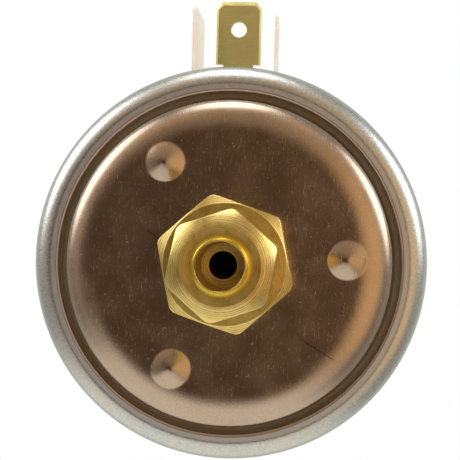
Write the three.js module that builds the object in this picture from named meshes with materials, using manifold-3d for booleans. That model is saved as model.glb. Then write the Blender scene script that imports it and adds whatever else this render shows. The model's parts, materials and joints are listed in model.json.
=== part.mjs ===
// Diaphragm pressure switch: brass tube port, drawn steel pressure cap, crimp ring,
// rubber diaphragm with piston, range spring with its adjusting screw, and a
// changeover contact set in a nylon housing with three flat push-on terminals.
//
// Millimetres. The origin is the mouth of the tube socket, +Z points out of the port
// and +Y towards the straight terminal. The flat rear cover is the lowest face.

import * as THREE from 'three';
import { mergeVertices } from 'three/addons/utils/BufferGeometryUtils.js';
import Module from 'manifold-3d';

const wasm = await Module();
wasm.setup();

// ---------------------------------------------------------------- driving dimensions

const around = 36; // facets around the large turned parts
const fine = 20; // facets around the small turned parts
const seatGap = 0.05; // between faces that bear on each other
const fitGap = 0.3; // between a piece and the recess cut for it

const tubeRadius = 3.0;
const passageRadius = 1.75;
const socketDepth = 6.7;

const nutAcrossFlats = 12.7;
const nutCollarRadius = 3.35;
const nutFaceZ = -1.25;
const nutRidgeRadius = 5.0;
const nutRidgeZ = -1.15;
const nutCornerZ = -2.1;
const nutBackZ = -8.9;
const nutTurn = THREE.MathUtils.degToRad(-11);

const bodyAcrossFlats = 16;
const bodyFrontZ = -9.2;
const bodyTurn = THREE.MathUtils.degToRad(12);

const capFaceZ = -15.4;
const capThickness = 1.0;
const capRadius = 21.8;
const capShoulder = 2.5;
const flangeTopZ = -21.6;
const flangeThickness = 0.8;
const flangeRadius = 25.5;

const bumpPitchRadius = 15.7;
const bumpRadius = 2.65;
const bumpHeight = 1.0;
const bumpAngles = [3, 123, 243];

const rimRadius = 26.55;
const rimZ = -21.2;
const sheet = 0.6;
const rollOuter = 2.5;
const rollInner = 0.7;
const lipRadius = 22.95;

const diaphragmThickness = 0.8;
const pistonRadius = 14;
const pistonThickness = 1.6;
const pistonTravel = 0.8;
const pinX = 8.6;
const pinRadius = 0.9;

const drumRadius = 20.9;
const drumWall = 2.0;
const drumFlange = 3.0;
const chamberRadius = 18.5;
const webFrontZ = -26.6;
const webThickness = 1.0;
const drumRearZ = -45.8;
const backZ = -51;

const springMeanRadius = 5.8;
const springWire = 0.65;
const springTurns = 5.5;

const tabFrontZ = -29;
const tabThickness = 0.8;
const tabHalfWidth = 3.15;
const tabTipY = 36.6;
const tabShoulderY = 27.7;
const tabNeckHalf = 2.1;
const tabHoleRadius = 1.07;
const tabHoleFromTip = 3.95;

const finThickness = 0.45;
const leftFin = { x: -6.35, topY: 36.0, frontZ: tabFrontZ, rearZ: -45.5 };
const rightFin = { x: 5.15, topY: 35.4, frontZ: -32.7, rearZ: -40.3 };

const pivotY = 12;
const pivotZ = -31.15;
const bladeThickness = 0.5;
const bladeHalf = 9.8;
const windowHalf = 7.3;
const contactY = -12.6;
const contactRadius = 1.6;
const contactHead = 0.75;
const contactGap = 1.7;
const bladeSpringY = -9.65;

const sideTabX = 10.2;
const sideTabY = 20.2;
const armX = 10.7;
const armEndY = -14.4;

const nutPlateHalf = 6.5;
const nutPlateThickness = 3;
const nutPlateRearZ = -42;
const nutPlateTravel = 3;
const screwRadius = 2.95;

const coverScrewRadius = 16.6;
const coverScrewAngles = [30, 150, 270];

// ---------------------------------------------------------------- levels that follow

const flangeBottomZ = flangeTopZ - flangeThickness;
const diaphragmTopZ = flangeBottomZ - 2 * seatGap;
const diaphragmBottomZ = diaphragmTopZ - diaphragmThickness;
const drumFrontZ = diaphragmBottomZ - 2 * seatGap;
const drumFlangeRearZ = drumFrontZ - drumFlange;
const crimpRearTopZ = drumFlangeRearZ - 2 * seatGap;
const webRearZ = webFrontZ - webThickness;
const pistonRearZ = drumFrontZ - pistonThickness;
const drumInner = drumRadius - drumWall;
const tabRearZ = tabFrontZ - tabThickness;
const bladeTopZ = pivotZ + bladeThickness / 2;
const bladeBottomZ = pivotZ - bladeThickness / 2;
const gasketThickness = 0.25;
const coverFrontZ = drumRearZ - gasketThickness - 2 * seatGap;

// ---------------------------------------------------------------- materials

const metal = (color, roughness) =>
  new THREE.MeshStandardMaterial({ color, roughness, metalness: 1 });
const plain = (color, roughness) =>
  new THREE.MeshStandardMaterial({ color, roughness, metalness: 0 });

const brass = metal(0xcfa650, 0.3);
const tabBrass = metal(0x9c8c54, 0.42);
const copper = metal(0xb87a50, 0.35);
const zincSteel = metal(0xb9c0c0, 0.3);
const capSteel = metal(0xa99a8c, 0.25);
const springSteel = metal(0x8b8d90, 0.35);
const silver = metal(0xd8d6d0, 0.3);
const bronze = metal(0xb9824f, 0.35);
const nylon = plain(0xf0ece0, 0.5);
const rubber = plain(0x1d1d1f, 0.8);

// ---------------------------------------------------------------- solids

// The closed solid bounded by a geometry's triangles.
function solid(geometry) {
  const bare = new THREE.BufferGeometry();
  bare.setAttribute('position', geometry.getAttribute('position'));
  bare.setIndex(geometry.getIndex());
  const merged = mergeVertices(bare, 1e-4);
  const corners = merged.getIndex().array;
  const kept = [];
  for (let i = 0; i < corners.length; i += 3) {
    const [a, b, c] = corners.slice(i, i + 3);
    if (a !== b && b !== c && c !== a) kept.push(a, b, c);
  }
  const mesh = new wasm.Mesh({
    numProp: 3,
    vertProperties: new Float32Array(merged.getAttribute('position').array),
    triVerts: new Uint32Array(kept),
  });
  return new wasm.Manifold(mesh);
}

function geometryOf(shape) {
  const mesh = shape.getMesh();
  const geometry = new THREE.BufferGeometry();
  geometry.setAttribute('position', new THREE.BufferAttribute(mesh.vertProperties, 3));
  geometry.setIndex(new THREE.BufferAttribute(mesh.triVerts, 1));
  geometry.computeVertexNormals();
  return geometry;
}

// A named sub-part.
function part(name, shape, material) {
  const mesh = new THREE.Mesh(geometryOf(shape), material);
  mesh.name = name;
  return mesh;
}

// A solid turned about Z. The outline lists [radius, z] anticlockwise, up its outside.
function turned(outline, facets = fine) {
  const points = outline.map(([r, z]) => new THREE.Vector2(r, z));
  const first = points[0];
  if (first.x > 0) points.push(first.clone());
  return solid(new THREE.LatheGeometry(points, facets).rotateX(Math.PI / 2));
}

// A round bar along Z, centred on (x, y).
function rod(radius, lowZ, highZ, x = 0, y = 0, facets = fine) {
  const bar = new THREE.CylinderGeometry(radius, radius, highZ - lowZ, facets);
  return solid(bar.rotateX(Math.PI / 2).translate(x, y, (lowZ + highZ) / 2));
}

// A ring with a rectangular section.
function washer(inner, outer, lowZ, highZ, facets = fine) {
  return turned([[inner, lowZ], [outer, lowZ], [outer, highZ], [inner, highZ]], facets);
}

// A rectangular block between two corners.
function block(low, high) {
  const size = high.map((value, i) => value - low[i]);
  const middle = high.map((value, i) => (value + low[i]) / 2);
  return solid(new THREE.BoxGeometry(...size).translate(...middle));
}

// A flat plate: an outline in X and Y, between two heights.
function plate(outline, lowZ, highZ) {
  const shape = new THREE.Shape(outline.map(([x, y]) => new THREE.Vector2(x, y)));
  const depth = highZ - lowZ;
  const slab = new THREE.ExtrudeGeometry(shape, { depth, bevelEnabled: false });
  return solid(slab.translate(0, 0, lowZ));
}

// A hexagonal bar with its flats facing the turn angle.
function hexBar(acrossFlats, lowZ, highZ, turn) {
  const corner = acrossFlats / Math.sqrt(3);
  const bar = new THREE.CylinderGeometry(corner, corner, highZ - lowZ, 6);
  bar.rotateX(Math.PI / 2).rotateZ(turn).translate(0, 0, (lowZ + highZ) / 2);
  return solid(bar);
}

// Points of an arc, angles in degrees from +R towards +Z.
function arc(centreR, centreZ, radius, from, to, steps) {
  return Array.from({ length: steps + 1 }, (_, i) => {
    const angle = THREE.MathUtils.degToRad(from + ((to - from) * i) / steps);
    return [centreR + radius * Math.cos(angle), centreZ + radius * Math.sin(angle)];
  });
}

// A point at a polar angle in degrees from +X.
function polar(radius, degrees) {
  const angle = THREE.MathUtils.degToRad(degrees);
  return [radius * Math.cos(angle), radius * Math.sin(angle)];
}

// A coil spring about a line parallel to Z.
class Helix extends THREE.Curve {
  constructor(radius, lowZ, highZ, turns, x, y) {
    super();
    Object.assign(this, { radius, lowZ, highZ, turns, x, y });
  }

  getPoint(t, target = new THREE.Vector3()) {
    const angle = t * this.turns * 2 * Math.PI;
    const z = this.lowZ + (this.highZ - this.lowZ) * t;
    return target.set(
      this.x + this.radius * Math.cos(angle),
      this.y + this.radius * Math.sin(angle),
      z,
    );
  }
}

function coil({ radius, wire, lowZ, highZ, turns, sides, stepsPerTurn, x = 0, y = 0 }) {
  const extrudePath = new Helix(radius, lowZ + wire, highZ - wire, turns, x, y);
  const section = new THREE.Shape(
    Array.from({ length: sides }, (_, i) => new THREE.Vector2(...polar(wire, (360 * i) / sides))),
  );
  const steps = Math.round(turns * stepsPerTurn);
  return solid(new THREE.ExtrudeGeometry(section, { steps, extrudePath, bevelEnabled: false }));
}

// ---------------------------------------------------------------- port

const noseRadius = 4.9;
const noseFrontZ = -4.6;
const shankRadius = 4.0;
const hexRearZ = -14.9;
const capInnerZ = capFaceZ - capThickness;
const backingThickness = 0.8;
const upsetFrontZ = capInnerZ - backingThickness - 3 * seatGap;
const upsetRearZ = upsetFrontZ - 0.8;

function portBody() {
  const chamferStart = 7.8;
  const chamferDrop = 0.75;
  const hexOutline = turned([
    [0, hexRearZ], [9.05, hexRearZ], [9.05, bodyFrontZ - chamferDrop],
    [chamferStart, bodyFrontZ], [0, bodyFrontZ],
  ], around);
  const hex = hexBar(bodyAcrossFlats, hexRearZ, bodyFrontZ, bodyTurn).intersect(hexOutline);
  const spindle = turned([
    [0, upsetRearZ], [4.8, upsetRearZ], [4.8, upsetFrontZ], [shankRadius, upsetFrontZ],
    [shankRadius, hexRearZ + 1], [noseRadius, hexRearZ + 1], [noseRadius, noseFrontZ],
    [0, noseFrontZ],
  ]);
  const socket = turned([
    [0, -30], [passageRadius, -30], [passageRadius, -socketDepth],
    [tubeRadius - 0.3, -socketDepth], [tubeRadius + 0.05, -socketDepth + 0.35],
    [tubeRadius + 0.05, noseFrontZ - 1.3], [4.4, noseFrontZ], [4.4, 1], [0, 1],
  ]);
  return part('port_body', hex.add(spindle).subtract(socket), brass);
}

function compressionNut() {
  const cornerRadius = nutAcrossFlats / Math.sqrt(3);
  const outside = turned([
    [0, nutBackZ], [cornerRadius - 1, nutBackZ], [cornerRadius, nutBackZ + 0.6],
    [cornerRadius, nutCornerZ], [nutRidgeRadius, nutRidgeZ], [nutCollarRadius, nutFaceZ],
    [nutCollarRadius, 0], [0, 0],
  ], around);
  const hex = hexBar(nutAcrossFlats, nutBackZ, 0, nutTurn);
  const inside = turned([
    [0, nutBackZ - 1], [noseRadius + 0.1, nutBackZ - 1], [noseRadius + 0.1, -3.4],
    [tubeRadius, -2.8], [tubeRadius, 1], [0, 1],
  ]);
  return part('compression_nut', hex.intersect(outside).subtract(inside), brass);
}

function ferrule() {
  const inner = tubeRadius + 0.05;
  const ring = turned([
    [inner, -5.2], [inner + 0.15, -5.2], [4.2, -4.2], [4.2, -3.6], [3.3, -2.95],
    [inner, -2.95],
  ]);
  return part('ferrule', ring, bronze);
}

function portSealRing() {
  const ring = washer(shankRadius + 0.2, 7.6, capFaceZ + seatGap, hexRearZ - seatGap);
  return part('port_seal_ring', ring, copper);
}

function backingWasher() {
  const highZ = capInnerZ - seatGap;
  const ring = washer(shankRadius + 0.1, 8, highZ - backingThickness, highZ);
  return part('backing_washer', ring, zincSteel);
}

// ---------------------------------------------------------------- pressure chamber

// A ball cut to the dome that stands above the cap's face.
function bumpBall(radius, [x, y]) {
  const outerRadius = (bumpRadius ** 2 + bumpHeight ** 2) / (2 * bumpHeight);
  const centreZ = capFaceZ + bumpHeight - outerRadius;
  const ball = new THREE.SphereGeometry(radius, 16, 14);
  return solid(ball.rotateX(Math.PI / 2).translate(x, y, centreZ));
}

function pressureCap() {
  const innerRadius = capRadius - capThickness;
  const innerShoulder = capShoulder - capThickness;
  const shoulderR = capRadius - capShoulder;
  const shoulderZ = capFaceZ - capShoulder;
  const foot = 0.7;
  const shell = turned([
    [innerRadius, flangeBottomZ],
    [flangeRadius, flangeBottomZ],
    [flangeRadius, flangeTopZ],
    ...arc(capRadius + foot, flangeTopZ + foot, foot, 270, 180, 2),
    ...arc(shoulderR, shoulderZ, capShoulder, 0, 90, 5),
    [shankRadius + 0.1, capFaceZ],
    [shankRadius + 0.1, capInnerZ],
    ...arc(shoulderR, shoulderZ, innerShoulder, 90, 0, 2),
  ], around);
  const outerRadius = (bumpRadius ** 2 + bumpHeight ** 2) / (2 * bumpHeight);
  const innerFloor = block([-30, -30, backZ], [30, 30, capInnerZ + 0.5]);
  let cap = shell;
  for (const degrees of bumpAngles) {
    const at = polar(bumpPitchRadius, degrees);
    const dome = bumpBall(outerRadius, at).subtract(innerFloor);
    cap = cap.add(dome).subtract(bumpBall(outerRadius - capThickness, at));
  }
  return part('pressure_cap', cap, capSteel);
}

function crimpRing() {
  const crestZ = rimZ + rollOuter;
  const rollR = rimRadius - rollOuter;
  const innerZ = crestZ - rollInner;
  const lipZ = flangeTopZ + fitGap;
  const rearZ = crimpRearTopZ - sheet;
  const rearRadius = drumRadius + 0.4;
  const corner = 0.8;
  const ring = turned([
    [rearRadius, rearZ],
    ...arc(rimRadius - corner, rearZ + corner, corner, 270, 360, 2),
    ...arc(rollR, rimZ, rollOuter, 0, 90, 6),
    ...arc(rollR, innerZ, rollInner, 120, 180, 2),
    [lipRadius, lipZ],
    [lipRadius + sheet, lipZ],
    [rollR - rollInner + sheet, innerZ],
    ...arc(rollR, rimZ, rollOuter - sheet, 90, 0, 3),
    [rimRadius - sheet, crimpRearTopZ],
    [rearRadius, crimpRearTopZ],
  ], around);
  return part('crimp_ring', ring, zincSteel);
}

// A sheet of rubber with one rolled fold around the piston.
function diaphragm() {
  const foldInner = pistonRadius + 0.4;
  const foldOuter = chamberRadius - 0.3;
  const foldHeight = 1.5;
  const fold = (bottomZ, from, to) =>
    Array.from({ length: 5 }, (_, i) => {
      const t = from + ((to - from) * i) / 4;
      const rise = foldHeight * Math.sin(Math.PI * t) ** 2;
      return [foldInner + (foldOuter - foldInner) * t, bottomZ + rise];
    });
  const disc = turned([
    [0, diaphragmBottomZ],
    ...fold(diaphragmBottomZ, 0, 1),
    [flangeRadius, diaphragmBottomZ],
    [flangeRadius, diaphragmTopZ],
    ...fold(diaphragmTopZ, 1, 0),
    [0, diaphragmTopZ],
  ], around);
  return part('diaphragm', disc, rubber);
}

// ---------------------------------------------------------------- piston and springs

function pistonDisc() {
  const hubRadius = springMeanRadius - springWire - 0.25;
  const hubRearZ = pistonRearZ - 1.2;
  const disc = turned([
    [0, hubRearZ], [hubRadius, hubRearZ], [hubRadius, pistonRearZ],
    [pistonRadius, pistonRearZ], [pistonRadius, drumFrontZ - 0.4],
    [pistonRadius - 0.4, drumFrontZ], [0, drumFrontZ],
  ], around);
  return part('piston_disc', disc, zincSteel);
}

// A round-tipped pin that carries the piston's travel to the contact blade.
function pushPin(name, x) {
  const tipZ = bladeTopZ + seatGap;
  const topZ = pistonRearZ - seatGap;
  const pin = turned([
    ...arc(0, tipZ + pinRadius, pinRadius, 270, 360, 4), [pinRadius, topZ], [0, topZ],
  ], 16);
  return part(name, pin.translate([x, 0, 0]), nylon);
}

function rangeSpring() {
  const shape = coil({
    radius: springMeanRadius,
    wire: springWire,
    lowZ: nutPlateRearZ + nutPlateThickness + 0.1,
    highZ: pistonRearZ - 0.1,
    turns: springTurns,
    sides: 6,
    stepsPerTurn: 14,
  });
  return part('range_spring', shape, springSteel);
}

function bladeSpring() {
  const shape = coil({
    radius: 0.95,
    wire: 0.17,
    lowZ: coverFrontZ + 0.1,
    highZ: bladeBottomZ - 0.1,
    turns: 7,
    sides: 4,
    stepsPerTurn: 9,
    x: 0,
    y: bladeSpringY,
  });
  return part('blade_spring', shape, springSteel);
}

function springNut() {
  const low = [-nutPlateHalf, -nutPlateHalf, nutPlateRearZ];
  const high = [nutPlateHalf, nutPlateHalf, nutPlateRearZ + nutPlateThickness];
  const hole = rod(screwRadius + 0.1, nutPlateRearZ - 1, high[2] + 1);
  return part('spring_nut', block(low, high).subtract(hole), zincSteel);
}

// ---------------------------------------------------------------- adjusting screw

const recessRadius = 5.5;
const recessFloorZ = backZ + 2.2;
const journalRadius = 2.45;
const grooveRadius = 2.05;
const grooveTopZ = recessFloorZ - 0.15;
const grooveBottomZ = grooveTopZ - 0.6;
const screwRearZ = backZ + 0.7;

function adjustingScrew() {
  const collarFrontZ = coverFrontZ + 1.9;
  const shape = turned([
    [0, screwRearZ], [journalRadius - 0.3, screwRearZ], [journalRadius, screwRearZ + 0.3],
    [journalRadius, grooveBottomZ], [grooveRadius, grooveBottomZ],
    [grooveRadius, grooveTopZ], [journalRadius, grooveTopZ],
    [journalRadius, coverFrontZ + 2 * seatGap], [4.8, coverFrontZ + 2 * seatGap],
    [4.8, collarFrontZ], [screwRadius, collarFrontZ], [screwRadius, nutPlateRearZ + 4.5],
    [screwRadius - 0.5, nutPlateRearZ + 5], [0, nutPlateRearZ + 5],
  ]);
  const slot = block([-5, -0.5, screwRearZ - 1], [5, 0.5, screwRearZ + 1.1]);
  return part('adjusting_screw', shape.subtract(slot), brass);
}

// A retaining clip with an open mouth and two relief notches.
function screwClip() {
  const lowZ = grooveBottomZ + seatGap;
  const highZ = grooveTopZ - seatGap;
  const ring = washer(grooveRadius + 0.1, 4.3, lowZ, highZ);
  const mouth = block([0, -1.5, lowZ - 1], [6, 1.5, highZ + 1]);
  const reliefs = [120, 240].map((degrees) => {
    return rod(0.7, lowZ - 1, highZ + 1, ...polar(2.5, degrees), 12);
  });
  const clip = reliefs.reduce((shape, hole) => shape.subtract(hole), ring.subtract(mouth));
  return part('screw_clip', clip, springSteel);
}

// ---------------------------------------------------------------- housing

const bossRadius = 2.5;
const bossFrontZ = -38;
const blockHalf = 14.7;
const blockInnerY = 14.3;
const blockFrontZ = -27.9;
const blockRearZ = -33.6;

function switchHousing() {
  const drum = turned([
    [drumInner, drumRearZ],
    [drumRadius, drumRearZ],
    [drumRadius, drumFlangeRearZ],
    [flangeRadius, drumFlangeRearZ],
    [flangeRadius, drumFrontZ],
    [chamberRadius, drumFrontZ],
    [chamberRadius, webFrontZ],
    [springMeanRadius + springWire + 0.35, webFrontZ],
    [springMeanRadius + springWire + 0.35, webRearZ],
    [drumInner, webRearZ],
  ], around);
  let housing = drum;
  for (const degrees of coverScrewAngles) {
    const at = polar(coverScrewRadius, degrees);
    housing = housing.add(rod(bossRadius, drumRearZ, bossFrontZ, ...at));
    housing = housing.subtract(rod(1.4, drumRearZ - 1, bossFrontZ - 1, ...at, 16));
  }
  for (const side of [-1, 1]) {
    const hole = rod(pinRadius + 0.1, webRearZ - 1, webFrontZ + 1, side * pinX, 0, 16);
    housing = housing.subtract(hole);
  }
  const window = block(
    [-blockHalf - fitGap, blockInnerY - fitGap, blockRearZ - fitGap],
    [blockHalf + fitGap, 30, blockFrontZ + fitGap],
  );
  return part('switch_housing', housing.subtract(window), nylon);
}

// The insert that holds the three terminals, with its two barrier fins.
function terminalBlock() {
  const outline = [
    [-blockHalf, blockInnerY], [blockHalf, blockInnerY], [blockHalf, 21], [11.5, 23.4],
    [-11.5, 23.4], [-blockHalf, 21],
  ];
  const pillarHalf = 6.6;
  const pillarOuterY = 24;
  let shape = plate(outline, blockRearZ, blockFrontZ);
  const pillarLow = [-pillarHalf, drumRadius + fitGap, leftFin.rearZ - 0.7];
  shape = shape.add(block(pillarLow, [pillarHalf, pillarOuterY, blockFrontZ]));
  for (const { x, topY, frontZ, rearZ } of [leftFin, rightFin]) {
    const low = [x - finThickness / 2, drumRadius + fitGap, rearZ];
    const high = [x + finThickness / 2, topY, frontZ];
    shape = shape.add(block(low, high));
  }
  const neckSlot = block(
    [-tabNeckHalf - fitGap, blockInnerY - 1, tabRearZ - fitGap],
    [tabNeckHalf + fitGap, 30, tabFrontZ + fitGap],
  );
  shape = shape.subtract(neckSlot);
  for (const side of [-1, 1]) {
    shape = shape.subtract(sideTerminalSlot(side));
  }
  return part('terminal_block', shape, nylon);
}

const footTopZ = -30.4;
const footBottomZ = footTopZ - tabThickness;
const footHalf = 2.15;

// A block given by its X range on the right, mirrored for the left side.
function mirrored(side, [lowX, lowY, lowZ], [highX, highY, highZ]) {
  const xs = [side * lowX, side * highX].sort((a, b) => a - b);
  return block([xs[0], lowY, lowZ], [xs[1], highY, highZ]);
}

function sideTerminalSlot(side) {
  const foot = mirrored(
    side,
    [sideTabX - footHalf - fitGap, blockInnerY - 1, footBottomZ - fitGap],
    [sideTabX + footHalf + fitGap, sideTabY + tabThickness + fitGap, footTopZ + fitGap],
  );
  const leg = mirrored(
    side,
    [sideTabX - tabHalfWidth - fitGap, sideTabY - fitGap, blockRearZ - 1],
    [sideTabX + tabHalfWidth + fitGap, 30, footTopZ + fitGap],
  );
  return foot.add(leg);
}

function coverGasket() {
  const highZ = drumRearZ - seatGap;
  const ring = washer(drumInner + 0.05, drumRadius - 0.1, highZ - gasketThickness, highZ, around);
  return part('cover_gasket', ring, rubber);
}

function rearCover() {
  const chamfer = 1.0;
  const disc = turned([
    [0, backZ], [drumRadius - chamfer, backZ], [drumRadius, backZ + chamfer],
    [drumRadius, coverFrontZ], [0, coverFrontZ],
  ], around);
  const guideHalf = nutPlateHalf + 0.2;
  const guideWall = 1.3;
  const guideOuter = guideHalf + guideWall;
  const guideTopZ = nutPlateRearZ + nutPlateThickness + nutPlateTravel - 0.2;
  const guide = block([-guideOuter, -guideOuter, coverFrontZ - 1],
    [guideOuter, guideOuter, guideTopZ]);
  const guideHole = block([-guideHalf, -guideHalf, coverFrontZ],
    [guideHalf, guideHalf, guideTopZ + 1]);
  let cover = disc.add(guide).subtract(guideHole);
  cover = cover.subtract(rod(recessRadius, backZ - 1, recessFloorZ, 0, 0, around));
  cover = cover.subtract(rod(journalRadius + 0.1, backZ - 1, coverFrontZ + 1));
  for (const degrees of coverScrewAngles) {
    const at = polar(coverScrewRadius, degrees);
    cover = cover.subtract(rod(3.0, backZ - 1, backZ + 2, ...at));
    cover = cover.subtract(rod(1.5, backZ - 1, coverFrontZ + 1, ...at, 16));
  }
  return part('rear_cover', cover, nylon);
}

function coverScrew(index, degrees) {
  const headRearZ = backZ + 0.2;
  const headFrontZ = backZ + 2 - seatGap;
  const shape = turned([
    [0, headRearZ], [2.2, headRearZ], [2.7, headRearZ + 0.6], [2.7, headFrontZ],
    [1.3, headFrontZ], [1.3, bossFrontZ - 2.5], [0, bossFrontZ - 1.6],
  ], 20);
  const slotFloorZ = headRearZ + 0.9;
  const across = block([-1.6, -0.35, headRearZ - 1], [1.6, 0.35, slotFloorZ]);
  const along = block([-0.35, -1.6, headRearZ - 1], [0.35, 1.6, slotFloorZ]);
  const [x, y] = polar(coverScrewRadius, degrees);
  const screw = shape.subtract(across.add(along)).translate([x, y, 0]);
  return part(`cover_screw_${index + 1}`, screw, zincSteel);
}

// ---------------------------------------------------------------- terminals and contacts

// The outline of a flat push-on terminal: shoulders, straight sides and a chamfered tip.
function tabOutline(neckY, shoulderY, tipY) {
  const tipHalf = 2.33;
  const tipDrop = 1.0;
  return [
    [-tabNeckHalf, neckY], [tabNeckHalf, neckY], [tabNeckHalf, shoulderY],
    [tabHalfWidth, shoulderY], [tabHalfWidth, tipY - tipDrop], [tipHalf, tipY],
    [-tipHalf, tipY], [-tabHalfWidth, tipY - tipDrop], [-tabHalfWidth, shoulderY],
    [-tabNeckHalf, shoulderY],
  ];
}

function terminalCommon() {
  const lugOuter = 7.2;
  const lugInner = 6.4;
  const lugHalf = 1.2;
  const tab = plate(tabOutline(13.5, tabShoulderY, tabTipY), tabRearZ, tabFrontZ);
  const yoke = block([-lugOuter, pivotY - lugHalf, tabRearZ], [lugOuter, 13.9, tabFrontZ]);
  const hole = rod(tabHoleRadius, tabRearZ - 1, tabFrontZ + 1, 0, tabTipY - tabHoleFromTip);
  let shape = tab.add(yoke).subtract(hole);
  for (const side of [-1, 1]) {
    const low = [lugInner, pivotY - lugHalf, pivotZ - lugHalf];
    const high = [lugOuter, pivotY + lugHalf, tabRearZ + 0.4];
    shape = shape.add(mirrored(side, low, high));
  }
  return part('terminal_common', shape.subtract(crossBar(0.72, 9)), tabBrass);
}

// A round bar along X through the blade's pivot.
function crossBar(radius, half) {
  const bar = new THREE.CylinderGeometry(radius, radius, 2 * half, 16);
  return solid(bar.rotateZ(Math.PI / 2).translate(0, pivotY, pivotZ));
}

// A side terminal: the outer tab turned to the rear, a foot through the block and an
// arm that ends in a tongue level with its fixed contact.
function sideTerminal(name, side, tongueLowZ) {
  const tabLength = footTopZ - blockRearZ + 8.9;
  const blank = plate(tabOutline(0, tabThickness, tabLength), 0, tabThickness);
  const hole = rod(tabHoleRadius, -1, 2, 0, tabLength - tabHoleFromTip);
  const tab = blank.subtract(hole).rotate([-90, 0, 0]);
  const tongueHighZ = tongueLowZ + tabThickness;
  const armHighX = armX + tabThickness;
  const contactHole = rod(contactShank + 0.05, tongueLowZ - 1, tongueHighZ + 1, 0, contactY, 16);
  const pieces = [
    mirrored(
      side,
      [sideTabX - footHalf, pivotY, footBottomZ],
      [sideTabX + footHalf, sideTabY + tabThickness, footTopZ],
    ),
    mirrored(
      side,
      [armX, armEndY, Math.min(tongueLowZ, footBottomZ)],
      [armHighX, pivotY + 2, Math.max(tongueHighZ, footTopZ)],
    ),
    mirrored(side, [-tongueEnd, armEndY, tongueLowZ], [armHighX, armEndY + 3.5, tongueHighZ]),
  ];
  const upright = tab.translate([side * sideTabX, sideTabY, footTopZ]);
  const shape = pieces.reduce((whole, piece) => whole.add(piece), upright);
  return part(name, shape.subtract(contactHole), tabBrass);
}

const tongueEnd = 2;
const contactShank = 0.7;
const ncFaceZ = bladeTopZ + contactHead + 2 * seatGap;
const ncTongueZ = ncFaceZ + contactHead + seatGap;
const noFaceZ = bladeBottomZ - contactHead - contactGap - 2 * seatGap;
const noTongueZ = noFaceZ - contactHead - seatGap - tabThickness;

// A contact rivet: a domed head, and a shank that passes through its tongue.
function fixedContact(name, faceZ, towards) {
  const rim = contactRadius;
  const shankEnd = contactHead + seatGap + tabThickness + 0.1;
  const outline = [
    [0, 0], [rim - 0.5, 0], [rim, 0.2], [rim, contactHead], [contactShank, contactHead],
    [contactShank, shankEnd], [0, shankEnd],
  ];
  const rivet = turned(outline, 20);
  const facing = towards > 0 ? rivet : rivet.rotate([180, 0, 0]);
  return part(name, facing.translate([0, contactY, faceZ]), silver);
}

// The moving contact: one rivet with a head on each side of the blade.
function movingContact() {
  const rim = contactRadius;
  const near = bladeThickness / 2 + seatGap;
  const far = bladeThickness / 2 + contactHead;
  const rivet = turned([
    [0, -far], [rim - 0.5, -far], [rim, -far + 0.2], [rim, -near], [contactShank, -near],
    [contactShank, near], [rim, near], [rim, far - 0.2], [rim - 0.5, far], [0, far],
  ], 20);
  return part('moving_contact', rivet.translate([0, contactY, pivotZ]), silver);
}

// A flat spring-bronze blade with a window for the range spring and a rolled eye.
function contactBlade() {
  const barEndY = pivotY - 2.1;
  const eyeHalf = 6;
  const windowRearY = 8;
  const windowFrontY = -8.4;
  const noseHalf = 3;
  const blank = plate([
    [-noseHalf, armEndY], [noseHalf, armEndY], [bladeHalf, -8], [bladeHalf, barEndY],
    [eyeHalf, barEndY], [eyeHalf, pivotY], [-eyeHalf, pivotY], [-eyeHalf, barEndY],
    [-bladeHalf, barEndY], [-bladeHalf, -8],
  ], bladeBottomZ, bladeTopZ);
  const window = block(
    [-windowHalf, windowFrontY, bladeBottomZ - 1],
    [windowHalf, windowRearY, bladeTopZ + 1],
  );
  const hole = rod(contactShank + 0.05, bladeBottomZ - 1, bladeTopZ + 1, 0, contactY, 16);
  const shape = blank.subtract(window).subtract(hole).add(crossBar(1.15, eyeHalf));
  return part('contact_blade', shape.subtract(crossBar(0.72, eyeHalf + 1)), bronze);
}

function pivotPin() {
  return part('pivot_pin', crossBar(0.62, 7.7), zincSteel);
}

// ---------------------------------------------------------------- assembly

const pressureSwitch = new THREE.Group();
pressureSwitch.add(
  portBody(),
  compressionNut(),
  ferrule(),
  portSealRing(),
  backingWasher(),
  pressureCap(),
  crimpRing(),
  diaphragm(),
  pistonDisc(),
  pushPin('push_pin_left', -pinX),
  pushPin('push_pin_right', pinX),
  rangeSpring(),
  springNut(),
  adjustingScrew(),
  screwClip(),
  switchHousing(),
  terminalBlock(),
  coverGasket(),
  rearCover(),
  ...coverScrewAngles.map((degrees, index) => coverScrew(index, degrees)),
  terminalCommon(),
  sideTerminal('terminal_nc', -1, ncTongueZ),
  sideTerminal('terminal_no', 1, noTongueZ),
  contactBlade(),
  movingContact(),
  fixedContact('fixed_contact_nc', ncFaceZ, 1),
  fixedContact('fixed_contact_no', noFaceZ, -1),
  pivotPin(),
  bladeSpring(),
);

export default pressureSwitch;
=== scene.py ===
import json
import math

import bmesh
import bpy
import numpy as np
from mathutils import Matrix, Vector


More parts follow.
